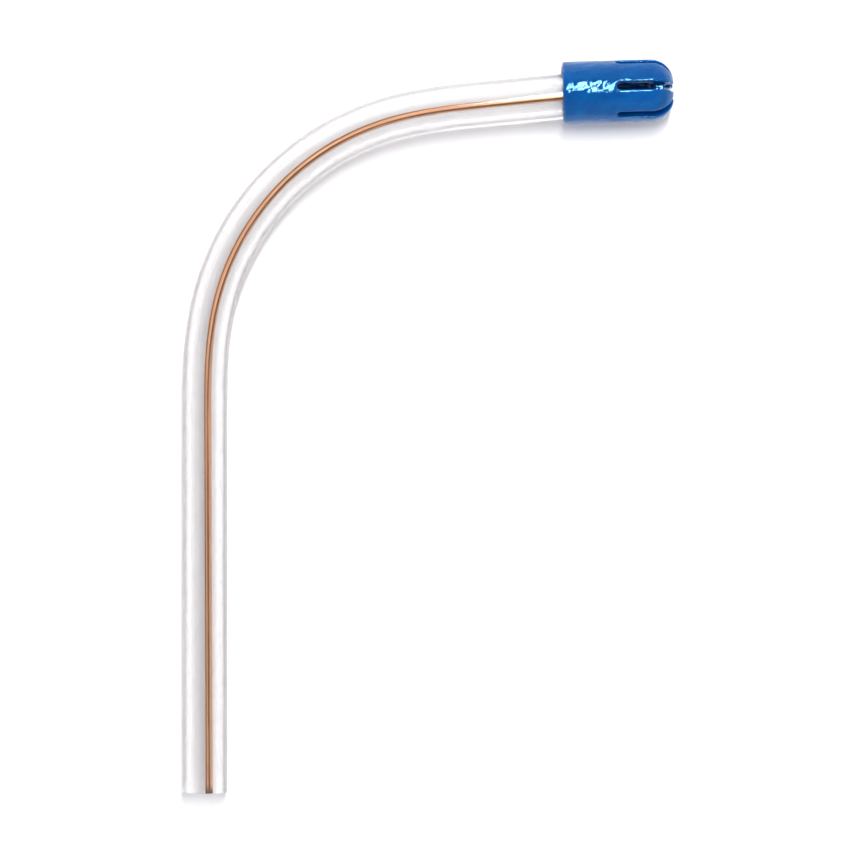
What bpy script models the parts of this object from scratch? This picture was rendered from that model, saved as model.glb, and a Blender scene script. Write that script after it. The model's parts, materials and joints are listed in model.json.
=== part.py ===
"""A disposable saliva ejector: a clear tube with a shape-holding wire in its wall and a soft slotted tip.

It lies on its side, bent into a hook. The tube runs from its suction end, along +Y, round an arc and
towards +X, where the tip is bonded on. The tube and its wire are sliced into short rigid sections, and each
section turns on the one before it about an upright axis, so that the row of them bends as the tube does.

Frame: +Z up from the surface it lies on, +Y along the straight shank, +X towards the tip, with the origin
at the middle of the bottom of its box. Metres.
"""

import math

import bmesh
import bpy
from mathutils import Euler, Matrix, Vector

# Driving dimensions
TOTAL_LENGTH = 0.150  # along the centreline, from the suction end to the tip's end
TUBE_RADIUS = 0.00325
LUMEN_RADIUS = 0.0018
WIRE_RADIUS = 0.0005
TIP_RADIUS = 0.0045
TIP_LENGTH = 0.016
SHANK_LENGTH = 0.062  # straight, from the suction end to where the arc starts
ARC_RADIUS = 0.0362
ARC_TURN = math.radians(84.5)

# Cross-section of the tube: the wall is thicker where it holds the wire
LUMEN_OFFSET = 0.00025  # away from the wire
WIRE_OFFSET = 0.00245  # from the centreline to the wire's middle
WIRE_CLEARANCE = 0.00005
WIRE_ROLL_AT_START = math.radians(16)  # from straight up towards the inside of the bend
WIRE_ROLL_AT_END = math.radians(4)

# Tip: a thimble with a flared socket for the tube, an inlet chamber and slots over its domed end
TIP_SKEW = math.radians(3.9)  # it sits askew on the tube, turned about the tube's end
SOCKET_CLEARANCE = 0.0001
SOCKET_MOUTH_RADIUS = 0.0039
SHOULDER_GAP = 0.0003  # between the tube's end and the end of the socket
SOCKET_DEPTH = 0.0077
CHAMBER_RADIUS = 0.0029
CHAMBER_END = 0.0134  # from the tip's base
CHAMBER_ROUNDING = 0.0020
DOME_ROUNDING = 0.0033
RIM_ROUNDING = 0.0004
SLOT_COUNT = 6
SLOT_WIDTH = 0.00115
SLOT_START = 0.0078  # from the tip's base
SLOT_ROLL = math.radians(-7)  # the upper slot, from straight up towards the inside of the bend
HUB_RADIUS = 0.0019
GROOVE_DEPTH = 0.0014  # of the grooves that carry the slots on across the tip's end
APEX_RADIUS = 0.0012
APEX_DRILL_LENGTH = 0.006
CUTTER_OVERRUN = 0.001  # how far a cutter reaches past what it cuts

# Joints
FIRST_JOINT = 0.020  # from the suction end: the stretch before it goes into the valve and stays straight
NECK_LEAD = 0.003  # from the end of the arc to the first joint of the neck
FACE_GAP = 0.0001  # between the ends of two sections that meet face to face
SLICE_REACH = 0.006  # half the width of a slice, more than the tube's radius
SLICE_HEIGHT = 0.02

# Fineness of the faceted shapes
TUBE_BEVEL = 10  # 24 sides
LUMEN_BEVEL = 6  # 16 sides
WIRE_BEVEL = 2  # 8 sides
TIP_STEPS = 36
ARC_STEPS = 18
RISE_STEPS = 4
ROUNDING_STEPS = 6
MERGE = 1e-6

TIP_BASE = TOTAL_LENGTH - TIP_LENGTH
TUBE_END = TIP_BASE + SOCKET_DEPTH - SHOULDER_GAP
ARC_LENGTH = ARC_RADIUS * ARC_TURN
ARC_END = SHANK_LENGTH + ARC_LENGTH
ARC_JOINTS = 9
ARC_PITCH = ARC_LENGTH / ARC_JOINTS
ARC_BEND = ARC_TURN / ARC_JOINTS
STRAIGHT_PITCH = 0.006

# Zones of joints: name, count, first joint's place, pitch, bend at rest and greatest bend of each joint
ZONES = (
    ("shank", 7, FIRST_JOINT, STRAIGHT_PITCH, 0.0, math.radians(12)),
    ("elbow", 5, SHANK_LENGTH + ARC_PITCH / 2, ARC_PITCH, ARC_BEND, math.radians(17)),
    ("crook", 4, SHANK_LENGTH + ARC_PITCH * 5.5, ARC_PITCH, ARC_BEND, math.radians(17)),
    ("neck", 2, ARC_END + NECK_LEAD, STRAIGHT_PITCH, 0.0, math.radians(17)),
)

UP = Vector((0, 0, 1))
UPWARD_ROLL = math.pi  # what faces up on the tip, as an angle round its axis in its own frame


def turn_at(s):
    """How far the centreline has turned clockwise from +Y at the distance s along it."""
    return min(max((s - SHANK_LENGTH) / ARC_RADIUS, 0.0), ARC_TURN)


def direction(turn):
    """The level direction that is turned clockwise from +Y."""
    return Vector((math.sin(turn), math.cos(turn), 0))


def height_at(s):
    """The centreline's height: the shank lies on the surface, and the tube rises to the wider tip."""
    share = min(max((s - SHANK_LENGTH) / (TIP_BASE - SHANK_LENGTH), 0.0), 1.0)
    ease = (1 - math.cos(math.pi * share)) / 2
    return TUBE_RADIUS + (TIP_RADIUS - TUBE_RADIUS) * ease


def hook_point(s):
    """The centreline's place, from the suction end's middle on the surface."""
    turn = turn_at(s)
    before_arc = min(s, SHANK_LENGTH)
    after_arc = max(s - ARC_END, 0.0)
    across = ARC_RADIUS * (1 - math.cos(turn)) + after_arc * math.sin(ARC_TURN)
    along = before_arc + ARC_RADIUS * math.sin(turn) + after_arc * math.cos(ARC_TURN)
    return Vector((across, along, height_at(s)))


def tip_point(along):
    """A place on the tip's axis, so far from its base, from the suction end's middle."""
    return hook_point(TUBE_END) + direction(ARC_TURN + TIP_SKEW) * (along - TUBE_END + TIP_BASE)


def box_middle():
    """The middle of the hook's box on the surface, from the suction end's middle."""
    dome_centre = tip_point(TIP_LENGTH - DOME_ROUNDING)
    flat_end = TIP_RADIUS - DOME_ROUNDING
    forward = direction(ARC_TURN + TIP_SKEW)
    most_x = dome_centre.x + flat_end * forward.y + DOME_ROUNDING
    most_y = dome_centre.y + flat_end * forward.x + DOME_ROUNDING
    return Vector(((most_x - TUBE_RADIUS) / 2, most_y / 2, 0))


ORIGIN = box_middle()


def centreline(s):
    """The centreline's place in the part's frame."""
    return hook_point(s) - ORIGIN


def wall_direction(s):
    """From the centreline towards the wire, which rolls slowly round the tube."""
    roll = WIRE_ROLL_AT_START + (WIRE_ROLL_AT_END - WIRE_ROLL_AT_START) * s / TUBE_END
    forward = direction(turn_at(s))
    inside = forward.cross(UP)
    return UP * math.cos(roll) + inside * math.sin(roll)


def path(offset, overrun):
    """Places along the tube, offset from the centreline towards the wire, with an overrun at both ends."""
    stops = [-overrun, SHANK_LENGTH]
    stops += [SHANK_LENGTH + ARC_LENGTH * (i + 1) / ARC_STEPS for i in range(ARC_STEPS)]
    stops += [ARC_END + (TIP_BASE - ARC_END) * (i + 1) / RISE_STEPS for i in range(RISE_STEPS)]
    stops += [TUBE_END + overrun]
    return [centreline(s) + wall_direction(s) * offset for s in stops]


def clear_scene():
    """Removes every object of the file this runs in."""
    for obj in list(bpy.data.objects):
        bpy.data.objects.remove(obj)


def new_collection(name):
    """A collection in the scene."""
    collection = bpy.data.collections.new(name)
    bpy.context.scene.collection.children.link(collection)
    return collection


def new_material(name, colour, roughness, metallic=0.0, alpha=1.0):
    """A Principled material."""
    material = bpy.data.materials.new(name)
    material.use_nodes = True
    surface = material.node_tree.nodes["Principled BSDF"]
    surface.inputs["Base Color"].default_value = (*colour, 1)
    surface.inputs["Roughness"].default_value = roughness
    surface.inputs["Metallic"].default_value = metallic
    surface.inputs["Alpha"].default_value = alpha
    return material


def as_mesh(curve, collection):
    """The curve object turned into a closed mesh object, which takes its name and place."""
    bpy.context.view_layer.update()
    evaluated = curve.evaluated_get(bpy.context.evaluated_depsgraph_get())
    mesh = bpy.data.meshes.new_from_object(evaluated)
    shape = bmesh.new()
    shape.from_mesh(mesh)
    bmesh.ops.remove_doubles(shape, verts=shape.verts, dist=MERGE)
    shape.to_mesh(mesh)
    shape.free()
    name = curve.name
    place = curve.matrix_world.copy()
    bpy.data.objects.remove(curve)
    made = bpy.data.objects.new(name, mesh)
    made.matrix_world = place
    collection.objects.link(made)
    return made


def hide(helper):
    """Marks a cutter, so that it is no part of the object."""
    helper.hide_render = True
    helper.display_type = "WIRE"


def sweep(name, points, radius, bevel, collection):
    """A round rod along the points, as a mesh."""
    curve = bpy.data.curves.new(name, "CURVE")
    curve.dimensions = "3D"
    curve.twist_mode = "Z_UP"
    curve.bevel_depth = radius
    curve.bevel_resolution = bevel
    curve.use_fill_caps = True
    spline = curve.splines.new("POLY")
    spline.points.add(len(points) - 1)
    for spot, place in zip(spline.points, points, strict=True):
        spot.co = (*place, 1)
    rod = bpy.data.objects.new(name, curve)
    collection.objects.link(rod)
    return as_mesh(rod, collection)


def upright_prism(name, outline, height, collection):
    """A prism over the surface, with the outline seen from above, as a hidden cutter."""
    curve = bpy.data.curves.new(name, "CURVE")
    curve.dimensions = "2D"
    curve.fill_mode = "BOTH"
    curve.extrude = height / 2
    spline = curve.splines.new("POLY")
    spline.points.add(len(outline) - 1)
    for spot, place in zip(spline.points, outline, strict=True):
        spot.co = (place.x, place.y, 0, 1)
    spline.use_cyclic_u = True
    slab = bpy.data.objects.new(name, curve)
    slab.location = (0, 0, TUBE_RADIUS)
    collection.objects.link(slab)
    prism = as_mesh(slab, collection)
    hide(prism)
    return prism


def boolean(target, operation, tool):
    """Adds one Boolean modifier."""
    modifier = target.modifiers.new(tool.name, "BOOLEAN")
    modifier.operation = operation
    modifier.object = tool


def baked(shape):
    """The object's mesh with its modifiers applied."""
    bpy.context.view_layer.update()
    evaluated = shape.evaluated_get(bpy.context.evaluated_depsgraph_get())
    return bpy.data.meshes.new_from_object(evaluated)


def tube_stock(helpers):
    """The whole bent tube with its lumen and the channel that holds the wire, as a mesh."""
    whole = sweep("tube_stock", path(0, 0), TUBE_RADIUS, TUBE_BEVEL, helpers)
    lumen = sweep("lumen", path(-LUMEN_OFFSET, CUTTER_OVERRUN), LUMEN_RADIUS, LUMEN_BEVEL, helpers)
    channel_radius = WIRE_RADIUS + WIRE_CLEARANCE
    channel = sweep("wire_channel", path(WIRE_OFFSET, CUTTER_OVERRUN), channel_radius, WIRE_BEVEL, helpers)
    for helper in (whole, lumen, channel):
        hide(helper)
    boolean(whole, "DIFFERENCE", lumen)
    boolean(whole, "DIFFERENCE", channel)
    return baked(whole)


def wire_stock(helpers):
    """The whole bent wire, as a mesh."""
    wire = sweep("wire_stock", path(WIRE_OFFSET, 0), WIRE_RADIUS, WIRE_BEVEL, helpers)
    hide(wire)
    return baked(wire)


def all_joints():
    """Every joint from the suction end up: its section's name, its place, rest bend and greatest bend."""
    joints = []
    for zone, count, first, pitch, rest, most in ZONES:
        for i in range(count):
            joints.append((f"{zone}_{i + 1}", first + i * pitch, rest, most))
    return joints


def slice_end(s, forward, sense, most_bend):
    """Three corners of a slice's end at the joint at s, from the outside of the bend to its inside.

    sense is 1 for the slice that starts there and -1 for the one that ends there. The inner half is cut
    back by half the greatest bend, so that two sections meet face to face at both ends of their travel.
    """
    pivot = centreline(s)
    inside = forward.cross(UP)
    edge = pivot + forward * sense * FACE_GAP / 2
    cut_back = SLICE_REACH * math.tan(most_bend / 2)
    return [
        edge - inside * SLICE_REACH,
        edge,
        edge + inside * SLICE_REACH + forward * sense * cut_back,
    ]


def open_end(s, forward, sense):
    """Two corners of a slice that passes the tube's own end, from the outside of the bend to its inside."""
    inside = forward.cross(UP)
    edge = centreline(s) - forward * sense * SLICE_REACH
    return [edge - inside * SLICE_REACH, edge + inside * SLICE_REACH]


def sections():
    """Each section's name, its joint's place and the outline that cuts it out, seen from above."""
    joints = all_joints()
    turn = 0.0
    names = ["grip"] + [name for name, _, _, _ in joints]
    found = []
    for i, name in enumerate(names):
        if i > 0:
            _, start, rest, most = joints[i - 1]
            turn += rest
            first = slice_end(start, direction(turn), 1, most)
        else:
            start = 0.0
            first = open_end(start, direction(turn), 1)
        if i < len(joints):
            _, end, _, most = joints[i]
            last = slice_end(end, direction(turn), -1, most)
        else:
            last = open_end(TUBE_END, direction(turn), -1)
        found.append((name, centreline(start), first + last[::-1]))
    return found


def cut_sections(stock, kind, slices, material, parts):
    """One object for each section of a stock, cut out by its slice, with its origin on its joint."""
    stock.materials.clear()
    stock.materials.append(material)
    for name, pivot, tool in slices:
        mesh = stock.copy()
        mesh.transform(Matrix.Translation(-pivot))
        section = bpy.data.objects.new(f"{kind}_{name}", mesh)
        section.location = pivot
        parts.objects.link(section)
        boolean(section, "INTERSECT", tool)


def quarter(centre_r, centre_z, radius, start, end, steps):
    """Points round part of a circle in a turned profile, as (r, z), with angles from the +r direction."""
    angles = [start + (end - start) * i / steps for i in range(steps + 1)]
    return [(centre_r + radius * math.cos(a), centre_z + radius * math.sin(a)) for a in angles]


def tip_profile():
    """The tip's half outline from the middle of its end, down its outside and up its inside."""
    socket = TUBE_RADIUS + SOCKET_CLEARANCE
    right = math.pi / 2
    dome = quarter(
        TIP_RADIUS - DOME_ROUNDING, TIP_LENGTH - DOME_ROUNDING, DOME_ROUNDING, right, 0, ROUNDING_STEPS
    )
    rim = quarter(TIP_RADIUS - RIM_ROUNDING, RIM_ROUNDING, RIM_ROUNDING, 0, -right, 2)
    ceiling = quarter(
        CHAMBER_RADIUS - CHAMBER_ROUNDING, CHAMBER_END - CHAMBER_ROUNDING, CHAMBER_ROUNDING, 0, right, 3
    )
    inside = [(SOCKET_MOUTH_RADIUS, 0), (socket, SOCKET_DEPTH), (CHAMBER_RADIUS, SOCKET_DEPTH)]
    return [(0, TIP_LENGTH)] + dome + rim + inside + ceiling + [(0, CHAMBER_END)]


def place_on_tip(shape):
    """Lays an object that was modelled along +Z, with the tip's base at zero, where the tip is."""
    shape.rotation_euler = Euler((0, math.pi / 2, math.pi / 2 - ARC_TURN - TIP_SKEW))
    shape.location = tip_point(0) - ORIGIN


def blade_outline():
    """Half of a slot cutter seen from its flat side, as (r, z): down past the wall, then over the hub."""
    reach = TIP_RADIUS + CUTTER_OVERRUN
    top = TIP_LENGTH + CUTTER_OVERRUN
    groove = TIP_LENGTH - GROOVE_DEPTH
    return [(HUB_RADIUS, groove), (HUB_RADIUS, SLOT_START), (reach, SLOT_START), (reach, top)]


def slot_blade(name, roll, helpers):
    """A hidden cutter that makes two opposite side slots and the groove across the end between them."""
    half = blade_outline()
    outline = half + [(-r, z) for r, z in reversed(half)]
    curve = bpy.data.curves.new(name, "CURVE")
    curve.dimensions = "2D"
    curve.fill_mode = "BOTH"
    curve.extrude = SLOT_WIDTH / 2
    spline = curve.splines.new("POLY")
    spline.points.add(len(outline) - 1)
    for spot, (r, z) in zip(spline.points, outline, strict=True):
        spot.co = (r, z, 0, 1)
    spline.use_cyclic_u = True
    blade = bpy.data.objects.new(name, curve)
    helpers.objects.link(blade)
    blade = as_mesh(blade, helpers)
    for vertex in blade.data.vertices:
        vertex.co.rotate(Euler((math.pi / 2, 0, 0)))
        vertex.co.rotate(Euler((0, 0, roll)))
    hide(blade)
    return blade


def apex_drill(helpers):
    """A hidden rod that opens the middle of the tip's end into the chamber."""
    bpy.ops.mesh.primitive_cylinder_add(vertices=18, radius=APEX_RADIUS, depth=APEX_DRILL_LENGTH)
    drill = bpy.context.active_object
    drill.name = "apex_drill"
    for vertex in drill.data.vertices:
        vertex.co.z += TIP_LENGTH
    for collection in list(drill.users_collection):
        collection.objects.unlink(drill)
    helpers.objects.link(drill)
    hide(drill)
    return drill


def soft_tip(material, parts, helpers):
    """The moulded tip, turned from its profile, with its slots, grooves and end hole cut."""
    outline = bpy.data.meshes.new("tip_outline")
    points = [(r, 0, z) for r, z in tip_profile()]
    outline.from_pydata(points, [(i, i + 1) for i in range(len(points) - 1)], [])
    outline.materials.append(material)
    stock = bpy.data.objects.new("tip_stock", outline)
    helpers.objects.link(stock)
    hide(stock)
    screw = stock.modifiers.new("Turn", "SCREW")
    screw.steps = TIP_STEPS
    screw.render_steps = TIP_STEPS
    screw.use_merge_vertices = True
    screw.merge_threshold = MERGE
    boolean(stock, "DIFFERENCE", apex_drill(helpers))
    for i in range(SLOT_COUNT // 2):
        roll = UPWARD_ROLL + SLOT_ROLL + 2 * math.pi * i / SLOT_COUNT
        boolean(stock, "DIFFERENCE", slot_blade(f"slot_pair_{i + 1}", roll, helpers))
    tip = bpy.data.objects.new("tip", baked(stock))
    parts.objects.link(tip)
    place_on_tip(tip)


def main():
    """Builds the saliva ejector."""
    clear_scene()
    parts = new_collection("saliva_ejector")
    helpers = new_collection("cutters")
    clear_vinyl = new_material("clear_vinyl", (0.86, 0.87, 0.86), 0.12, alpha=0.35)
    copper = new_material("copper_plated_wire", (0.80, 0.42, 0.24), 0.30, metallic=1.0)
    blue_vinyl = new_material("blue_vinyl", (0.005, 0.13, 0.50), 0.28)
    slices = [
        (name, pivot, upright_prism(f"slice_{name}", outline, SLICE_HEIGHT, helpers))
        for name, pivot, outline in sections()
    ]
    cut_sections(tube_stock(helpers), "tube", slices, clear_vinyl, parts)
    cut_sections(wire_stock(helpers), "wire", slices, copper, parts)
    soft_tip(blue_vinyl, parts, helpers)


main()
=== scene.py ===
"""The looks of a disposable saliva ejector: clear tube, wire in its wall and soft slotted tip, on a pale table."""

import json
import logging
import math
from collections.abc import Callable, Iterable
from dataclasses import dataclass, field
from enum import Enum
from typing import Any

import bpy
from mathutils import Euler, Matrix, Vector

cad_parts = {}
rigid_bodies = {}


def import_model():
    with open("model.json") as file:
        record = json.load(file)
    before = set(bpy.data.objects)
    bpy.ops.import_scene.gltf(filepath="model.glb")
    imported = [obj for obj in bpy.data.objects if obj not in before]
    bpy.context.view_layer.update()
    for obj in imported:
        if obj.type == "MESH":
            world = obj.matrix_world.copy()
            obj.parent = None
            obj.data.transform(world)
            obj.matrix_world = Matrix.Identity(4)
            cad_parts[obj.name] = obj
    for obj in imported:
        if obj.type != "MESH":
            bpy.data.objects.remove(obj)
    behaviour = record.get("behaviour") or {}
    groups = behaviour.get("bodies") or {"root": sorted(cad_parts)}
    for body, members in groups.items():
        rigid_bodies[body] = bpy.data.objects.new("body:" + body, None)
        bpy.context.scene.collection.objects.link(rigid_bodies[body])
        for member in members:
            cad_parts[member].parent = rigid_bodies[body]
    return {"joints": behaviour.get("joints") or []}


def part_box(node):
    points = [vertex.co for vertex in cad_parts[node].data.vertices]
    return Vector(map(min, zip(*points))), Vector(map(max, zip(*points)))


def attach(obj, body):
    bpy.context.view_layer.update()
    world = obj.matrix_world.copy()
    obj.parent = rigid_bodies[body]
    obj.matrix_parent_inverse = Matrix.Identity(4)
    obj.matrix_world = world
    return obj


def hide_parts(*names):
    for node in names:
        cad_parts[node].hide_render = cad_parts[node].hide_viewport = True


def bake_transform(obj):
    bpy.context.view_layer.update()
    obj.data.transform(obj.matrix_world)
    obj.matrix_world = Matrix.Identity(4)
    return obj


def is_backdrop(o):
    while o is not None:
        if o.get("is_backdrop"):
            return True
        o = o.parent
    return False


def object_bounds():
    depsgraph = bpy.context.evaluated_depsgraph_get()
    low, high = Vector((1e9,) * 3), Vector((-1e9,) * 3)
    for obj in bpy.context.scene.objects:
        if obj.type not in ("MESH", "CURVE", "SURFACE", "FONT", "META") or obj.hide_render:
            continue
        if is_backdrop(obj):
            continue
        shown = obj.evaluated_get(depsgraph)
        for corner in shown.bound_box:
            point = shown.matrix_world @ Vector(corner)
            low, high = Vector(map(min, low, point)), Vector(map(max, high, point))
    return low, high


LOG = logging.getLogger("saliva_ejector")
MM = 0.001
LAID_OUT = "laid_out"  # attribute: where a point is on the straight, unbent piece
MERGE = 1e-6
VINYL_IOR = 1.53


class Lengthwise(Enum):
    """Which way a pattern's lines run on a laid-out piece."""

    TUBE = (1.0, 0.02, 1.0)
    TIP = (1.0, 1.0, 0.55)


# ---------------------------------------------------------------- the edit-mode workbench


def deselect_everything() -> None:
    """Leaves object mode with nothing selected."""
    if bpy.context.mode != "OBJECT":
        bpy.ops.object.mode_set(mode="OBJECT")
    bpy.ops.object.select_all(action="DESELECT")


def make_active(piece: bpy.types.Object) -> None:
    """Selects only this piece and makes it the active one."""
    deselect_everything()
    piece.select_set(True)
    bpy.context.view_layer.objects.active = piece


def enter_edit(piece: bpy.types.Object, mode: str = "EDGE") -> None:
    """Opens the piece in edit mode with nothing selected.

    Args:
        piece: The mesh object to open.
        mode: The kind of element to select, VERT, EDGE or FACE.
    """
    make_active(piece)
    bpy.ops.object.mode_set(mode="EDIT")
    bpy.ops.mesh.select_mode(type=mode)
    bpy.ops.mesh.select_all(action="DESELECT")


def leave_edit() -> None:
    """Goes back to object mode."""
    bpy.ops.object.mode_set(mode="OBJECT")


def edit_edges(piece: bpy.types.Object, wanted: Callable[[list[Vector]], bool]) -> None:
    """Opens the piece in edit mode with only some edges selected.

    Args:
        piece: The mesh object to open.
        wanted: Whether an edge with these two ends is selected.
    """
    enter_edit(piece, "EDGE")
    leave_edit()
    for edge in piece.data.edges:
        edge.select = wanted([piece.data.vertices[i].co for i in edge.vertices])
    bpy.ops.object.mode_set(mode="EDIT")


def edit_faces(piece: bpy.types.Object, wanted: Callable[[bpy.types.MeshPolygon], bool]) -> None:
    """Opens the piece in edit mode with only some faces selected.

    Args:
        piece: The mesh object to open.
        wanted: Whether a face is selected.
    """
    enter_edit(piece, "FACE")
    leave_edit()
    for face in piece.data.polygons:
        face.select = wanted(face)
    bpy.ops.object.mode_set(mode="EDIT")


def named_primitive(name: str) -> bpy.types.Object:
    """Names the primitive that was just added.

    Args:
        name: The piece's name.

    Returns:
        The new object.
    """
    piece = bpy.context.active_object
    piece.name = name
    piece.data.name = name
    return piece


def apply_modifier(piece: bpy.types.Object, kind: str, **settings: Any) -> None:
    """Adds one modifier and applies it.

    Args:
        piece: The mesh object.
        kind: The modifier's type.
        settings: Its properties.
    """
    make_active(piece)
    modifier = piece.modifiers.new(kind.lower(), kind)
    for key, value in settings.items():
        setattr(modifier, key, value)
    bpy.ops.object.modifier_apply(modifier=modifier.name)


def remember_layout(piece: bpy.types.Object) -> None:
    """Stores each point's present place as the laid-out attribute, before the piece is bent or placed."""
    mesh = piece.data
    layout = mesh.attributes.new(LAID_OUT, "FLOAT_VECTOR", "POINT")
    for spot, vertex in zip(layout.data, mesh.vertices, strict=True):
        spot.vector = vertex.co


def place(piece: bpy.types.Object, matrix: Matrix) -> None:
    """Moves a piece and applies the move, so that its object sits at the origin.

    Args:
        piece: The mesh object.
        matrix: Where its own frame goes.
    """
    piece.matrix_world = matrix
    make_active(piece)
    bpy.ops.object.transform_apply(location=True, rotation=True, scale=True)


def recalculate_outwards(piece: bpy.types.Object) -> None:
    """Merges doubles and turns every face outwards."""
    enter_edit(piece, "VERT")
    bpy.ops.mesh.select_all(action="SELECT")
    bpy.ops.mesh.remove_doubles(threshold=MERGE)
    bpy.ops.mesh.normals_make_consistent(inside=False)
    leave_edit()


def shade(piece: bpy.types.Object, angle: float = 35.0) -> None:
    """Shades a piece smoothly, but for edges sharper than the angle in degrees."""
    make_active(piece)
    bpy.ops.object.shade_smooth_by_angle(angle=math.radians(angle))


def remove(piece: bpy.types.Object) -> None:
    """Deletes a helper."""
    bpy.data.objects.remove(piece)


# ---------------------------------------------------------------- shader node helpers


def shader_group(name: str, inputs: dict[str, float], outputs: Iterable[str]) -> bpy.types.NodeTree:
    """Starts a shader node group with a vector input, number inputs and number outputs.

    Args:
        name: The group's name.
        inputs: The number inputs with their defaults.
        outputs: The names of the outputs.

    Returns:
        The group, with its input and output nodes.
    """
    group = bpy.data.node_groups.new(name, "ShaderNodeTree")
    group.interface.new_socket("Vector", in_out="INPUT", socket_type="NodeSocketVector")
    for label, default in inputs.items():
        socket = group.interface.new_socket(label, in_out="INPUT", socket_type="NodeSocketFloat")
        socket.default_value = default
    for label in outputs:
        group.interface.new_socket(label, in_out="OUTPUT", socket_type="NodeSocketFloat")
    group.nodes.new("NodeGroupInput")
    group.nodes.new("NodeGroupOutput")
    return group


def add_node(tree: bpy.types.NodeTree, kind: str, **settings: Any) -> bpy.types.Node:
    """Adds a node and sets its properties, or its inputs where a name is a socket's.

    Args:
        tree: The node tree.
        kind: The node's type.
        settings: Properties, and values or links for input sockets, with _ for a space.

    Returns:
        The node.
    """
    node = tree.nodes.new(kind)
    for key, value in settings.items():
        label = key.replace("_", " ")
        if hasattr(node, key):
            setattr(node, key, value)
        elif isinstance(value, bpy.types.NodeSocket):
            tree.links.new(value, node.inputs[label])
        else:
            node.inputs[label].default_value = value
    return node


def remap(
    tree: bpy.types.NodeTree, value: bpy.types.NodeSocket, start: float, end: float, low: float, high: float
) -> bpy.types.NodeSocket:
    """Maps start..end to low..high, smoothly and clamped.

    Args:
        tree: The node tree.
        value: The socket to map.
        start: The value that gives low.
        end: The value that gives high.
        low: The first result.
        high: The last result.

    Returns:
        The mapped socket.
    """
    node = tree.nodes.new("ShaderNodeMapRange")
    node.interpolation_type = "SMOOTHSTEP"
    tree.links.new(value, node.inputs["Value"])
    for label, number in (("From Min", start), ("From Max", end), ("To Min", low), ("To Max", high)):
        node.inputs[label].default_value = number
    return node.outputs["Result"]


def blend_colours(
    tree: bpy.types.NodeTree,
    share: bpy.types.NodeSocket,
    first: tuple[float, float, float] | bpy.types.NodeSocket,
    second: tuple[float, float, float],
) -> bpy.types.NodeSocket:
    """Mixes two colours.

    Args:
        tree: The node tree.
        share: How much of the second one shows.
        first: The first colour, or a socket with it.
        second: The second colour.

    Returns:
        The mixed colour's socket.
    """
    node = tree.nodes.new("ShaderNodeMix")
    node.data_type = "RGBA"
    tree.links.new(share, node.inputs[0])
    if isinstance(first, bpy.types.NodeSocket):
        tree.links.new(first, node.inputs[6])
    else:
        node.inputs[6].default_value = (*first, 1)
    node.inputs[7].default_value = (*second, 1)
    return node.outputs[2]


def drawn_lines_group() -> bpy.types.NodeTree:
    """Long fine lines left by a die or a mould.

    Returns:
        The group: Vector is stretched by the material, Scale is in lines per metre, Height is 0..1.
    """
    group = shader_group("drawn_lines", {"Scale": 1500.0, "Wander": 0.4, "Detail": 3.0}, ["Height"])
    source = group.nodes["Group Input"].outputs
    noise = add_node(
        group,
        "ShaderNodeTexNoise",
        Vector=source["Vector"],
        Scale=source["Scale"],
        Detail=source["Detail"],
        Distortion=source["Wander"],
    )
    group.links.new(noise.outputs["Fac"], group.nodes["Group Output"].inputs["Height"])
    return group


def mottle_group() -> bpy.types.NodeTree:
    """Soft cloudy patches.

    Returns:
        The group: Scale is in patches per metre, Patches is a 0..1 mask.
    """
    group = shader_group("mottle", {"Scale": 300.0}, ["Patches"])
    source = group.nodes["Group Input"].outputs
    clouds = add_node(
        group, "ShaderNodeTexNoise", Vector=source["Vector"], Scale=source["Scale"], Detail=4.0, Roughness=0.6
    )
    patches = remap(group, clouds.outputs["Fac"], 0.35, 0.68, 0.0, 1.0)
    group.links.new(patches, group.nodes["Group Output"].inputs["Patches"])
    return group


@dataclass(frozen=True)
class Finish:
    """What every finish shares: its name and the node groups it is mixed from."""

    name: str
    lines: bpy.types.NodeTree
    mottle: bpy.types.NodeTree

    def start(self) -> tuple[bpy.types.Material, bpy.types.NodeTree, bpy.types.Node]:
        """Makes an empty material.

        Returns:
            The material, its tree and its Principled shader.
        """
        material = bpy.data.materials.new(self.name)
        material.use_nodes = True
        tree = material.node_tree
        return material, tree, tree.nodes["Principled BSDF"]

    def laid_out(self, tree: bpy.types.NodeTree, lengthwise: Lengthwise | None = None) -> bpy.types.NodeSocket:
        """The laid-out place of a point, squeezed along the piece for long lines.

        Args:
            tree: The material's tree.
            lengthwise: Which way lines run, or None for an even pattern.

        Returns:
            The vector's socket.
        """
        spot = add_node(tree, "ShaderNodeAttribute", attribute_name=LAID_OUT).outputs["Vector"]
        if lengthwise is None:
            return spot
        return add_node(tree, "ShaderNodeMapping", Vector=spot, Scale=lengthwise.value).outputs["Vector"]

    def group(self, tree: bpy.types.NodeTree, made: bpy.types.NodeTree, **values: Any) -> bpy.types.Node:
        """Places a node group.

        Args:
            tree: The material's tree.
            made: The group.
            values: Its input values or links.

        Returns:
            The group's node.
        """
        node = tree.nodes.new("ShaderNodeGroup")
        node.node_tree = made
        for key, value in values.items():
            socket = node.inputs[key.replace("_", " ")]
            if isinstance(value, bpy.types.NodeSocket):
                tree.links.new(value, socket)
            else:
                socket.default_value = value
        return node

    def bump(
        self,
        tree: bpy.types.NodeTree,
        height: bpy.types.NodeSocket,
        depth: float,
        under: bpy.types.NodeSocket | None = None,
    ) -> bpy.types.NodeSocket:
        """Turns a height into a normal.

        Args:
            tree: The material's tree.
            height: The 0..1 height.
            depth: How deep it is, in metres.
            under: The normal of a bump below this one.

        Returns:
            The normal's socket.
        """
        node = add_node(tree, "ShaderNodeBump", Height=height, Distance=depth, Strength=1.0)
        if under is not None:
            tree.links.new(under, node.inputs["Normal"])
        return node.outputs["Normal"]


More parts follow.
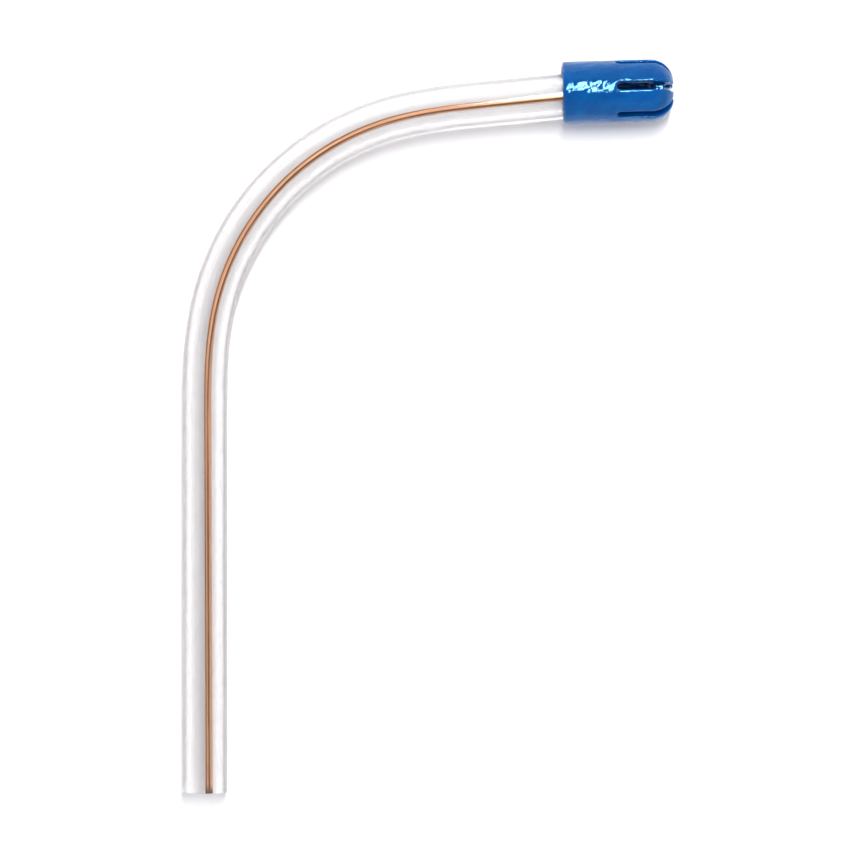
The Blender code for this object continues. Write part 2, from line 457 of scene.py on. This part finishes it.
@dataclass(frozen=True)
class ClearVinyl(Finish):
    """Clear extruded soft vinyl, faintly milky, with fine die lines."""

    clear: tuple[float, float, float] = (0.995, 0.988, 0.982)
    hazy: tuple[float, float, float] = (0.975, 0.968, 0.966)
    clarity: float = 0.96
    opacity: float = 0.85
    sheen_level: float = 0.3
    roughness: tuple[float, float] = (0.08, 0.14)
    lines_per_metre: float = 1400.0
    patches_per_metre: float = 420.0
    line_depth: float = 0.003 * MM

    def make(self) -> bpy.types.Material:
        """Builds the material."""
        material, tree, shader = self.start()
        drawn = self.laid_out(tree, Lengthwise.TUBE)
        lines = self.group(tree, self.lines, Vector=drawn, Scale=self.lines_per_metre)
        patches = self.group(tree, self.mottle, Vector=drawn, Scale=self.patches_per_metre).outputs["Patches"]
        tree.links.new(blend_colours(tree, patches, self.clear, self.hazy), shader.inputs["Base Color"])
        tree.links.new(remap(tree, patches, 0.0, 1.0, *self.roughness), shader.inputs["Roughness"])
        height = remap(tree, lines.outputs["Height"], 0.3, 0.7, 0.0, 1.0)
        tree.links.new(self.bump(tree, height, self.line_depth), shader.inputs["Normal"])
        shader.inputs["IOR"].default_value = VINYL_IOR
        shader.inputs["Specular IOR Level"].default_value = self.sheen_level
        shader.inputs["Transmission Weight"].default_value = self.clarity
        shader.inputs["Alpha"].default_value = self.opacity
        return material


@dataclass(frozen=True)
class CopperPlating(Finish):
    """Soft wire with a thin drawn copper plating: dulled in patches, tarnished at its cut end, and with two dark
    lines of painted reflection along it.

    Each line of painted reflection is where its middle is on the shank and where on the arc, from the wire's upper
    line towards the inside of the bend, and half its width.
    """

    bright: tuple[float, float, float] = (0.88, 0.46, 0.23)
    dull: tuple[float, float, float] = (0.66, 0.29, 0.12)
    # Dark colour used twice: for the painted reflection lines, and for the real tarnish at the cut end.
    tarnish_and_painted_reflection: tuple[float, float, float] = (0.11, 0.03, 0.008)
    most_dulled: float = 0.6
    roughness: tuple[float, float] = (0.38, 0.52)
    lines_per_metre: float = 5200.0
    patches_per_metre: float = 2200.0
    line_depth: float = 0.004 * MM
    # Painted reflection: two dark lines where the dark overhead would be mirrored in the metal, below its lit
    # upper side.
    painted_reflection_lines: tuple[tuple[float, float, float], ...] = (
        (-0.06 * MM, 0.17 * MM, 0.17 * MM),
        (-0.42 * MM, -0.38 * MM, 0.07 * MM),
    )
    shank_end: float = 52.0 * MM
    arc_start: float = 76.0 * MM
    cut_end: float = 1.4 * MM

    def make(self) -> bpy.types.Material:
        """Builds the material."""
        material, tree, shader = self.start()
        drawn = self.laid_out(tree, Lengthwise.TUBE)
        lines = self.group(tree, self.lines, Vector=drawn, Scale=self.lines_per_metre)
        patches = self.group(tree, self.mottle, Vector=drawn, Scale=self.patches_per_metre).outputs["Patches"]
        dulled = remap(tree, patches, 0.0, 1.0, 0.0, self.most_dulled)
        colour = blend_colours(tree, dulled, self.bright, self.dull)
        # Paints the dark reflection lines into the wire's colour.
        for on_shank, on_arc, half_width in self.painted_reflection_lines:
            share = self.painted_reflection_line(tree, patches, on_shank, on_arc, half_width)
            colour = blend_colours(tree, share, colour, self.tarnish_and_painted_reflection)
        along = add_node(tree, "ShaderNodeSeparateXYZ", Vector=self.laid_out(tree)).outputs["Y"]
        # Real tarnish at the cut end, in the same dark colour.
        colour = blend_colours(tree, remap(tree, along, 0.0, self.cut_end, 0.9, 0.0), colour, self.tarnish_and_painted_reflection)
        tree.links.new(colour, shader.inputs["Base Color"])
        tree.links.new(remap(tree, patches, 0.0, 1.0, *self.roughness), shader.inputs["Roughness"])
        tree.links.new(self.bump(tree, lines.outputs["Height"], self.line_depth), shader.inputs["Normal"])
        shader.inputs["Metallic"].default_value = 1.0
        return material

    def painted_reflection_line(
        self,
        tree: bpy.types.NodeTree,
        patches: bpy.types.NodeSocket,
        on_shank: float,
        on_arc: float,
        half_width: float,
    ) -> bpy.types.NodeSocket:
        """A painted dark reflection line along the wire, a little wider and paler here and there.

        Args:
            tree: The material's tree.
            patches: A 0..1 mask that changes along the wire.
            on_shank: The line's middle on the shank.
            on_arc: The line's middle on the arc.
            half_width: Half its width.

        Returns:
            The line's 0..1 mask.
        """
        spot = add_node(tree, "ShaderNodeSeparateXYZ", Vector=self.laid_out(tree)).outputs
        unevenness = 0.2 * half_width
        core = 0.35 * half_width
        spread = remap(tree, patches, 0.0, 1.0, -unevenness, unevenness)
        middle = remap(tree, spot["Y"], self.shank_end, self.arc_start, on_shank, on_arc)
        apart = self.arithmetic(tree, "SUBTRACT", spot["X"], middle)
        away = self.arithmetic(tree, "ADD", self.arithmetic(tree, "ABSOLUTE", apart), spread)
        return remap(tree, away, core, half_width, 0.95, 0.0)

    def arithmetic(
        self,
        tree: bpy.types.NodeTree,
        operation: str,
        first: bpy.types.NodeSocket,
        second: bpy.types.NodeSocket | float = 0.0,
    ) -> bpy.types.NodeSocket:
        """One sum.

        Args:
            tree: The material's tree.
            operation: The kind of sum.
            first: The first value.
            second: The second value, where it has one.

        Returns:
            The result's socket.
        """
        node = add_node(tree, "ShaderNodeMath", operation=operation)
        tree.links.new(first, node.inputs[0])
        if isinstance(second, bpy.types.NodeSocket):
            tree.links.new(second, node.inputs[1])
        else:
            node.inputs[1].default_value = second
        return node.outputs["Value"]


@dataclass(frozen=True)
class BlueVinyl(Finish):
    """Soft deep blue moulded vinyl: glossy over a wavy surface, a little light passing into it."""

    deep: tuple[float, float, float] = (0.0, 0.058, 0.235)
    bright: tuple[float, float, float] = (0.0, 0.080, 0.305)
    roughness: tuple[float, float] = (0.05, 0.10)
    waves_per_metre: float = 380.0
    wave_depth: float = 0.20 * MM
    ripples_per_metre: float = 1300.0
    ripple_depth: float = 0.06 * MM
    grains_per_metre: float = 5200.0
    grain_depth: float = 0.002 * MM
    patches_per_metre: float = 330.0
    sheen_tint: tuple[float, float, float] = (0.3, 0.75, 1.0)
    light_within: float = 0.35
    light_reach: float = 0.9 * MM

    def make(self) -> bpy.types.Material:
        """Builds the material."""
        material, tree, shader = self.start()
        even = self.laid_out(tree)
        along = self.laid_out(tree, Lengthwise.TIP)
        waves = self.group(tree, self.lines, Vector=along, Scale=self.waves_per_metre, Wander=0.6, Detail=1.0)
        ripples = self.group(tree, self.lines, Vector=even, Scale=self.ripples_per_metre, Wander=0.3, Detail=0.5)
        grain = self.group(tree, self.mottle, Vector=even, Scale=self.grains_per_metre)
        patches = self.group(tree, self.mottle, Vector=even, Scale=self.patches_per_metre).outputs["Patches"]
        tree.links.new(blend_colours(tree, patches, self.deep, self.bright), shader.inputs["Base Color"])
        tree.links.new(remap(tree, patches, 0.0, 1.0, *self.roughness), shader.inputs["Roughness"])
        waved = self.bump(tree, waves.outputs["Height"], self.wave_depth)
        rippled = self.bump(tree, ripples.outputs["Height"], self.ripple_depth, waved)
        grained = self.bump(tree, grain.outputs["Patches"], self.grain_depth, rippled)
        tree.links.new(grained, shader.inputs["Normal"])
        shader.inputs["IOR"].default_value = VINYL_IOR
        shader.inputs["Specular IOR Level"].default_value = 0.5
        shader.inputs["Specular Tint"].default_value = (*self.sheen_tint, 1)
        shader.inputs["Subsurface Weight"].default_value = self.light_within
        shader.inputs["Subsurface Radius"].default_value = (0.2, 0.5, 1.0)
        shader.inputs["Subsurface Scale"].default_value = self.light_reach
        return material


@dataclass(frozen=True)
class PaleTable(Finish):
    """A matt white table top with the faintest unevenness."""

    white: tuple[float, float, float] = (0.93, 0.93, 0.935)
    shade_of_white: tuple[float, float, float] = (0.91, 0.91, 0.918)
    roughness: float = 0.7

    def make(self) -> bpy.types.Material:
        """Builds the material."""
        material, tree, shader = self.start()
        spot = add_node(tree, "ShaderNodeTexCoord").outputs["Object"]
        patches = self.group(tree, self.mottle, Vector=spot, Scale=9.0).outputs["Patches"]
        tree.links.new(blend_colours(tree, patches, self.white, self.shade_of_white), shader.inputs["Base Color"])
        shader.inputs["Roughness"].default_value = self.roughness
        return material


# ---------------------------------------------------------------- the route of the tube


@dataclass
class Route:
    """The tube's centreline: a straight shank, an eased arc and a short straight that rises to the wider tip."""

    start: Vector
    tube_radius: float = 3.25 * MM
    tip_radius: float = 4.5 * MM
    shank: float = 62.0 * MM
    arc_radius: float = 36.2 * MM
    arc_turn: float = math.radians(84.5)
    easing: float = 16.0 * MM
    tip_base: float = 134.0 * MM
    tube_end: float = 141.4 * MM
    roll_at_start: float = math.radians(16)
    roll_at_end: float = math.radians(4)
    step: float = 0.1 * MM
    places: list[Vector] = field(default_factory=list)

    def __post_init__(self) -> None:
        """Walks along the centreline in small steps and keeps each place."""
        spot = self.start.copy()
        for i in range(round(self.tube_end / self.step) + 1):
            self.places.append(spot.copy())
            turn = self.turn((i + 0.5) * self.step)
            spot += Vector((math.sin(turn), math.cos(turn), 0)) * self.step

    @property
    def arc_end(self) -> float:
        """How far along the arc ends."""
        return self.shank + self.arc_radius * self.arc_turn

    def turn(self, along: float) -> float:
        """How far the tube has turned clockwise from +Y, with its curvature eased in and out of the arc.

        Args:
            along: The distance from the suction end.

        Returns:
            The angle in radians.
        """
        return (self.eased(along - self.shank) - self.eased(along - self.arc_end)) / self.arc_radius

    def eased(self, past: float) -> float:
        """A ramp that starts at zero, rounded over the easing length.

        Args:
            past: The distance past the ramp's corner.

        Returns:
            The ramp's height.
        """
        if past <= -self.easing / 2:
            return 0.0
        if past >= self.easing / 2:
            return past
        return (past + self.easing / 2) ** 2 / (2 * self.easing)

    def point(self, along: float) -> Vector:
        """The centreline's place.

        Args:
            along: The distance from the suction end.

        Returns:
            The point in the row frame.
        """
        index = min(max(round(along / self.step), 0), len(self.places) - 1)
        share = min(max((along - self.shank) / (self.tip_base - self.shank), 0.0), 1.0)
        rise = (self.tip_radius - self.tube_radius) * (1 - math.cos(math.pi * share)) / 2
        return self.places[index] + Vector((0, 0, rise))

    def curve(self) -> bpy.types.Object:
        """The centreline as a curve whose tilt carries the wire slowly round the tube.

        A tilt of a quarter turn keeps a piece's +Z side up.

        Returns:
            The curve object, to be removed when the pieces have been bent along it.
        """
        data = bpy.data.curves.new("centreline", "CURVE")
        data.dimensions = "3D"
        data.twist_mode = "Z_UP"
        spline = data.splines.new("POLY")
        count = round(self.tube_end / (4 * self.step))
        spline.points.add(count)
        for i, spot in enumerate(spline.points):
            spot.co = (*self.point(self.tube_end * i / count), 1)
            roll = self.roll_at_start + (self.roll_at_end - self.roll_at_start) * i / count
            spot.tilt = math.pi / 2 + roll
        curve = bpy.data.objects.new("centreline", data)
        bpy.context.scene.collection.objects.link(curve)
        return curve


@dataclass(frozen=True)
class Stretch:
    """A length of the tube across one joint: from the middle of one CAD section to the middle of the next."""

    begin: float
    end: float
    joint: float
    lower: str
    upper: str
    covers: tuple[str, ...]

    def blend_span(self) -> tuple[float, float]:
        """Where along the tube the bending begins and ends, a little inside the stretch.

        Returns:
            The two distances along the centreline.
        """
        furthest = 3.2 * MM
        reach = 0.88 * min(self.joint - self.begin, self.end - self.joint, furthest)
        return self.joint - reach, self.joint + reach


@dataclass
class Jointing:
    """How the tube is divided into stretches, read from the frame's joints."""

    route: Route
    joints: list[dict[str, Any]]

    def along(self, place_m: Iterable[float]) -> float:
        """How far along the centreline a joint is.

        Args:
            place_m: The joint's place in the row frame.

        Returns:
            The distance from the suction end.
        """
        spot = Vector(place_m).xy
        nearest = min(range(len(self.route.places)), key=lambda i: (self.route.places[i].xy - spot).length)
        return nearest * self.route.step

    def stretches(self) -> list[Stretch]:
        """Divides the tube.

        Returns:
            One stretch for each joint, in order from the suction end.
        """
        places = [self.along(joint["pos_m"]) for joint in self.joints]
        middles = [(a + b) / 2 for a, b in zip(places, places[1:])]
        edges = [0.0, *middles, self.route.tube_end]
        found = []
        for i, joint in enumerate(self.joints):
            covers = (joint["parent"],)
            if i == len(self.joints) - 1:
                covers = (joint["parent"], joint["child"])
            found.append(Stretch(edges[i], edges[i + 1], places[i], joint["parent"], joint["child"], covers))
        return found


# ---------------------------------------------------------------- the pieces


@dataclass(frozen=True)
class Bench:
    """What bends straight lengths along the centreline and dresses them in place of the CAD nodes that they span.
    """

    route: Route
    curve: bpy.types.Object

    def dress(
        self, piece: bpy.types.Object, stretch: Stretch, material: bpy.types.Material, part: str
    ) -> None:
        """Bends one straight length, gives it its finish and hides the CAD nodes that it replaces.

        Args:
            piece: The straight piece.
            stretch: The length of tube that it belongs to.
            material: Its finish.
            part: The first word of the CAD nodes that it replaces.
        """
        remember_layout(piece)
        apply_modifier(piece, "CURVE", object=self.curve, deform_axis="POS_Y")
        shade(piece)
        piece.data.materials.append(material)
        first, last = (self.route.point(along) for along in stretch.blend_span())
        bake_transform(piece)
        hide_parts(*(f"{part}_{body}" for body in stretch.covers))


@dataclass
class SuctionTube:
    """The clear tube, in stretches that meet without a seam."""

    route: Route
    finish: ClearVinyl
    lumen_radius: float = 1.8 * MM
    lumen_drop: float = 0.25 * MM
    sides: int = 96
    ring_spacing: float = 0.5 * MM
    rim: float = 0.05 * MM

    def shell(self, name: str, radius: float, drop: float, stretch: Stretch) -> bpy.types.Object:
        """One open round shell along +Y, drawn out ring by ring.

        Args:
            name: The shell's name.
            radius: Its radius.
            drop: How far its middle is below the centreline.
            stretch: The length of tube that it belongs to.

        Returns:
            The straight shell.
        """
        deselect_everything()
        bpy.ops.mesh.primitive_circle_add(
            vertices=self.sides,
            radius=radius,
            location=(0, stretch.begin, -drop),
            rotation=(math.pi / 2, 0, 0),
        )
        shell = named_primitive(name)
        bpy.ops.object.transform_apply(location=True, rotation=True, scale=True)
        enter_edit(shell)
        bpy.ops.mesh.select_all(action="SELECT")
        rings = math.ceil((stretch.end - stretch.begin) / self.ring_spacing)
        step = (stretch.end - stretch.begin) / rings
        for _ in range(rings):
            bpy.ops.mesh.extrude_region_move(TRANSFORM_OT_translate={"value": (0, step, 0)})
        leave_edit()
        return shell

    def straight_piece(self, name: str, stretch: Stretch) -> bpy.types.Object:
        """One stretch of tube before it is bent, with its cut face if it has an end of the tube.

        Args:
            name: The piece's name.
            stretch: The length of tube.

        Returns:
            The straight piece.
        """
        outside = self.shell(name, self.route.tube_radius, 0.0, stretch)
        lumen = self.shell("lumen", self.lumen_radius, self.lumen_drop, stretch)
        recalculate_outwards(outside)
        recalculate_outwards(lumen)
        enter_edit(lumen, "FACE")
        bpy.ops.mesh.select_all(action="SELECT")
        bpy.ops.mesh.flip_normals()
        leave_edit()
        make_active(outside)
        lumen.select_set(True)
        bpy.ops.object.join()
        for along in (0.0, self.route.tube_end):
            if min(abs(along - stretch.begin), abs(along - stretch.end)) < MERGE:
                self.close_end(outside, along)
        return outside

    def close_end(self, tube: bpy.types.Object, along: float) -> None:
        """Bridges the two shells at a cut end and softens the cut's edges.

        Args:
            tube: The piece.
            along: Where the end is.
        """

        def at_the_cut(ends: list[Vector]) -> bool:
            """Whether an edge lies in the cut's plane."""
            return all(abs(end.y - along) < MERGE for end in ends)

        def on_a_rim(ends: list[Vector]) -> bool:
            """Whether an edge runs round one of the cut's two rims."""
            return at_the_cut(ends) and self.on_lumen(ends[0]) == self.on_lumen(ends[1])

        edit_edges(tube, at_the_cut)
        bpy.ops.mesh.bridge_edge_loops()
        leave_edit()
        edit_edges(tube, on_a_rim)
        bpy.ops.mesh.bevel(offset=self.rim, segments=3, affect="EDGES")
        leave_edit()

    def on_lumen(self, spot: Vector) -> bool:
        """Whether a point of a straight piece lies on its lumen and not on its outside."""
        return math.hypot(spot.x, spot.z) < self.route.tube_radius - MERGE

    def build(self, stretches: list[Stretch], bench: Bench) -> None:
        """Models every stretch, bends it along the route and dresses it.

        Args:
            stretches: The lengths of tube.
            bench: What bends and dresses them.
        """
        material = self.finish.make()
        for i, stretch in enumerate(stretches):
            tube = self.straight_piece(f"clear_tube_{i + 1}", stretch)
            bench.dress(tube, stretch, material, "tube")
        LOG.info("clear tube in %d stretches", len(stretches))


@dataclass
class WallWire:
    """The copper-plated wire in the tube's wall."""

    route: Route
    finish: CopperPlating
    radius: float = 0.5 * MM
    lift: float = 2.45 * MM
    sides: int = 24
    ring_spacing: float = 0.5 * MM
    inset: float = 0.02 * MM

    def straight_piece(self, name: str, begin: float, end: float) -> bpy.types.Object:
        """One length of wire along +Y, closed at both ends.

        Args:
            name: The piece's name.
            begin: Where it begins.
            end: Where it ends.

        Returns:
            The straight piece.
        """
        deselect_everything()
        bpy.ops.mesh.primitive_circle_add(
            vertices=self.sides,
            radius=self.radius,
            fill_type="NGON",
            location=(0, begin, self.lift),
            rotation=(math.pi / 2, 0, 0),
        )
        wire = named_primitive(name)
        bpy.ops.object.transform_apply(location=True, rotation=True, scale=True)
        enter_edit(wire, "FACE")
        bpy.ops.mesh.select_all(action="SELECT")
        rings = math.ceil((end - begin) / self.ring_spacing)
        for _ in range(rings):
            bpy.ops.mesh.extrude_region_move(TRANSFORM_OT_translate={"value": (0, (end - begin) / rings, 0)})
        leave_edit()
        recalculate_outwards(wire)
        return wire

    def build(self, stretches: list[Stretch], bench: Bench) -> None:
        """Models every length of wire, bends it along the route and dresses it.

        Args:
            stretches: The lengths of tube.
            bench: What bends and dresses them.
        """
        material = self.finish.make()
        for i, stretch in enumerate(stretches):
            begin = max(stretch.begin, self.inset)
            end = min(stretch.end, self.route.tube_end - self.inset)
            wire = self.straight_piece(f"wall_wire_{i + 1}", begin, end)
            bench.dress(wire, stretch, material, "wire")
        LOG.info("wire in %d lengths", len(stretches))


@dataclass
class SoftTip:
    """The moulded tip: a thimble with a domed end and slots, modelled along +Z from its base."""

    route: Route
    finish: BlueVinyl
    body: str
    radius: float = 4.5 * MM
    length: float = 16.0 * MM
    skew: float = math.radians(3.9)
    dome: float = 3.4 * MM
    socket_mouth: float = 3.95 * MM
    socket_radius: float = 3.3 * MM
    socket_depth: float = 7.7 * MM
    chamber_radius: float = 2.9 * MM
    chamber_end: float = 13.4 * MM
    slots: int = 6
    slot_width: float = 1.15 * MM
    slot_start: float = 7.7 * MM
    slot_roll: float = math.radians(-7)
    hub_radius: float = 1.9 * MM
    groove_depth: float = 1.4 * MM
    apex_radius: float = 1.1 * MM
    base_rounding: float = 0.35 * MM
    chamber_rounding: float = 2.0 * MM
    cutter_overrun: float = 1.0 * MM
    voxel: float = 0.125 * MM
    soft_passes: int = 5

    def outside(self) -> bpy.types.Object:
        """The solid bullet: a cylinder whose far edge is rounded into a dome, with a soft base edge.

        Returns:
            The bullet.
        """
        deselect_everything()
        bpy.ops.mesh.primitive_cylinder_add(
            vertices=128, radius=self.radius, depth=self.length, location=(0, 0, self.length / 2)
        )
        bullet = named_primitive("soft_tip")
        bpy.ops.object.transform_apply(location=True, rotation=True, scale=True)
        self.bevel_rim(bullet, self.length, self.dome, 14)
        self.bevel_rim(bullet, 0.0, self.base_rounding, 4)
        return bullet

    def bevel_rim(self, piece: bpy.types.Object, height: float, offset: float, segments: int) -> None:
        """Rounds the rim of a turned piece.

        Args:
            piece: The piece.
            height: The rim's height.
            offset: The rounding's size.
            segments: How many steps it has.
        """
        edit_edges(piece, lambda ends: all(abs(end.z - height) < MERGE for end in ends))
        bpy.ops.mesh.bevel(offset=offset, segments=segments, affect="EDGES")
        leave_edit()

    def socket(self) -> bpy.types.Object:
        """The cutter for the flared socket that takes the tube."""
        deselect_everything()
        overrun = self.cutter_overrun
        flare = (self.socket_mouth - self.socket_radius) / self.socket_depth
        bpy.ops.mesh.primitive_cone_add(
            vertices=96,
            radius1=self.socket_mouth + flare * overrun,
            radius2=self.socket_radius,
            depth=self.socket_depth + overrun,
            location=(0, 0, (self.socket_depth - overrun) / 2),
        )
        return named_primitive("socket_cutter")

    def chamber(self) -> bpy.types.Object:
        """The cutter for the inlet chamber, round at its far end."""
        deselect_everything()
        overlap = 0.5 * MM
        depth = self.chamber_end - self.socket_depth + overlap
        bpy.ops.mesh.primitive_cylinder_add(
            vertices=96,
            radius=self.chamber_radius,
            depth=depth,
            location=(0, 0, self.chamber_end - depth / 2),
        )
        cutter = named_primitive("chamber_cutter")
        bpy.ops.object.transform_apply(location=True, rotation=True, scale=True)
        self.bevel_rim(cutter, self.chamber_end, self.chamber_rounding, 6)
        return cutter

    def apex(self) -> bpy.types.Object:
        """The cutter for the hole in the middle of the far end."""
        deselect_everything()
        bpy.ops.mesh.primitive_cylinder_add(
            vertices=48, radius=self.apex_radius, depth=6.0 * MM, location=(0, 0, self.length)
        )
        return named_primitive("apex_cutter")

    def slot_pair(self, number: int) -> bpy.types.Object:
        """The cutter for two opposite slots and the groove that joins them across the end.

        Args:
            number: Which pair it is, from 0.

        Returns:
            The cutter.
        """
        deselect_everything()
        reach = self.radius + self.cutter_overrun
        top = self.length + self.cutter_overrun
        floor = self.length - self.groove_depth
        bpy.ops.mesh.primitive_cube_add(size=1, location=(0, 0, (floor + top) / 2))
        cutter = named_primitive(f"slot_cutter_{number + 1}")
        cutter.scale = (2 * reach, self.slot_width, top - floor)
        bpy.ops.object.transform_apply(location=True, rotation=True, scale=True)
        enter_edit(cutter, "FACE")
        for plane in (self.hub_radius, -self.hub_radius):
            bpy.ops.mesh.select_all(action="SELECT")
            bpy.ops.mesh.bisect(plane_co=(plane, 0, 0), plane_no=(1, 0, 0))
        leave_edit()
        edit_faces(cutter, lambda face: face.normal.z < -0.5 and abs(face.center.x) > self.hub_radius)
        drop = (0, 0, self.slot_start - floor)
        bpy.ops.mesh.extrude_region_move(TRANSFORM_OT_translate={"value": drop})
        leave_edit()
        self.round_slot_starts(cutter)
        place(cutter, Matrix.Rotation(math.pi + self.slot_roll + 2 * math.pi * number / self.slots, 4, "Z"))
        return cutter

    def round_slot_starts(self, cutter: bpy.types.Object) -> None:
        """Rounds the corners of the slots' near ends."""

        def radial_and_low(ends: list[Vector]) -> bool:
            """Whether an edge is a corner of a slot's near end."""
            return all(abs(end.z - self.slot_start) < MERGE for end in ends) and abs(ends[0].y - ends[1].y) < MERGE

        edit_edges(cutter, radial_and_low)
        bpy.ops.mesh.bevel(offset=self.slot_width * 0.42, segments=4, affect="EDGES")
        leave_edit()

    def placement(self) -> Matrix:
        """Where the tip's own frame goes: askew on the tube's end, lying level."""
        turn = self.route.arc_turn + self.skew
        forward = Vector((math.sin(turn), math.cos(turn), 0))
        base = self.route.point(self.route.tube_end) - forward * (self.route.tube_end - self.route.tip_base)
        rotation = Euler((0, math.pi / 2, math.pi / 2 - turn)).to_matrix().to_4x4()
        return Matrix.Translation(base) @ rotation

    def build(self) -> None:
        """Cuts the thimble out of the bullet, softens every edge and dresses it."""
        tip = self.outside()
        cutters = [self.socket(), self.chamber(), self.apex()]
        cutters += [self.slot_pair(i) for i in range(self.slots // 2)]
        for cutter in cutters:
            apply_modifier(tip, "BOOLEAN", operation="DIFFERENCE", object=cutter, solver="EXACT")
            remove(cutter)
        apply_modifier(tip, "REMESH", mode="VOXEL", voxel_size=self.voxel, use_smooth_shade=True)
        apply_modifier(tip, "SMOOTH", factor=0.5, iterations=self.soft_passes)
        remember_layout(tip)
        place(tip, self.placement())
        shade(tip, 80.0)
        tip.data.materials.append(self.finish.make())
        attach(tip, self.body)
        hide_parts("tip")
        LOG.info("soft tip, %d faces", len(tip.data.polygons))


# ---------------------------------------------------------------- the studio


@dataclass(frozen=True)
class Softbox:
    """A soft rectangular light that faces the object."""

    name: str
    place: tuple[float, float, float]
    size: tuple[float, float]
    power: float

    def build(self, target: Vector) -> None:
        """Adds the light.

        Args:
            target: What it faces.
        """
        data = bpy.data.lights.new(self.name, "AREA")
        data.shape = "RECTANGLE"
        data.size, data.size_y = self.size
        data.energy = self.power
        light = bpy.data.objects.new(self.name, data)
        light.location = self.place
        light.rotation_euler = (target - Vector(self.place)).to_track_quat("-Z", "Y").to_euler()
        bpy.context.scene.collection.objects.link(light)


@dataclass
class Studio:
    """A pale table under a bright even sky, one soft box overhead, and a camera looking straight down."""

    table: PaleTable
    lens: float = 200.0
    view_height: float = 0.122
    zenith: float = 0.45
    horizon: float = 1.0
    sky_turns: tuple[float, float] = (0.55, 0.95)
    bounces: int = 24
    box: Softbox = Softbox("overhead_box", (0.07, 0.37, 1.05), (0.06, 0.60), 10.0)

    def build(self, low: Vector, high: Vector) -> None:
        """Sets up the table, the light, the sky and the camera.

        Args:
            low: The object's lowest corner.
            high: The object's highest corner.
        """
        middle = (low + high) / 2
        deselect_everything()
        bpy.ops.mesh.primitive_plane_add(size=6.0, location=(0, 0, 0))
        table = named_primitive("table_top")
        table.data.materials.append(self.table.make())
        table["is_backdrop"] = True
        self.box.build(middle)
        self.light_sky()
        self.place_camera(middle, high.z)
        scene = bpy.context.scene
        scene.view_settings.view_transform = "Standard"
        scene.cycles.max_bounces = self.bounces
        scene.cycles.transmission_bounces = self.bounces
        scene.cycles.glossy_bounces = self.bounces // 2

    def light_sky(self) -> None:
        """A faintly cool white, dimmer overhead than all round."""
        world = bpy.data.worlds.new("studio")
        world.use_nodes = True
        tree = world.node_tree
        sky = tree.nodes["Background"]
        sky.inputs["Color"].default_value = (0.97, 0.962, 1.0, 1)
        towards = add_node(tree, "ShaderNodeTexCoord").outputs["Generated"]
        height = add_node(tree, "ShaderNodeSeparateXYZ", Vector=towards).outputs["Z"]
        strength = remap(tree, height, *self.sky_turns, self.horizon, self.zenith)
        tree.links.new(strength, sky.inputs["Strength"])
        bpy.context.scene.world = world

    def place_camera(self, middle: Vector, top: float) -> None:
        """A long lens straight above the object.

        Args:
            middle: The object's middle.
            top: The object's highest point.
        """
        data = bpy.data.cameras.new("camera")
        data.lens = self.lens
        camera = bpy.data.objects.new("camera", data)
        distance = self.view_height / data.sensor_width * self.lens
        camera.location = (middle.x, middle.y, top + distance)
        bpy.context.scene.collection.objects.link(camera)
        bpy.context.scene.camera = camera


def main() -> None:
    """Builds the ejector's looks around its frame."""
    logging.basicConfig(level=logging.INFO, format="%(message)s")
    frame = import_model()
    frame_low, frame_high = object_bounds()
    grip_low, grip_high = (Vector(corner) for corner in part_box("tube_grip"))
    route = Route(start=Vector(((grip_low.x + grip_high.x) / 2, grip_low.y, 3.25 * MM)))
    stretches = Jointing(route, frame["joints"]).stretches()
    lines, mottle = drawn_lines_group(), mottle_group()
    curve = route.curve()
    bench = Bench(route, curve)
    SuctionTube(route, ClearVinyl("clear_vinyl_finish", lines, mottle)).build(stretches, bench)
    WallWire(route, CopperPlating("copper_plating_finish", lines, mottle)).build(stretches, bench)
    remove(curve)
    SoftTip(route, BlueVinyl("blue_vinyl_finish", lines, mottle), stretches[-1].upper).build()
    Studio(PaleTable("table_finish", lines, mottle)).build(Vector(frame_low), Vector(frame_high))


if __name__ == "__main__":
    main()
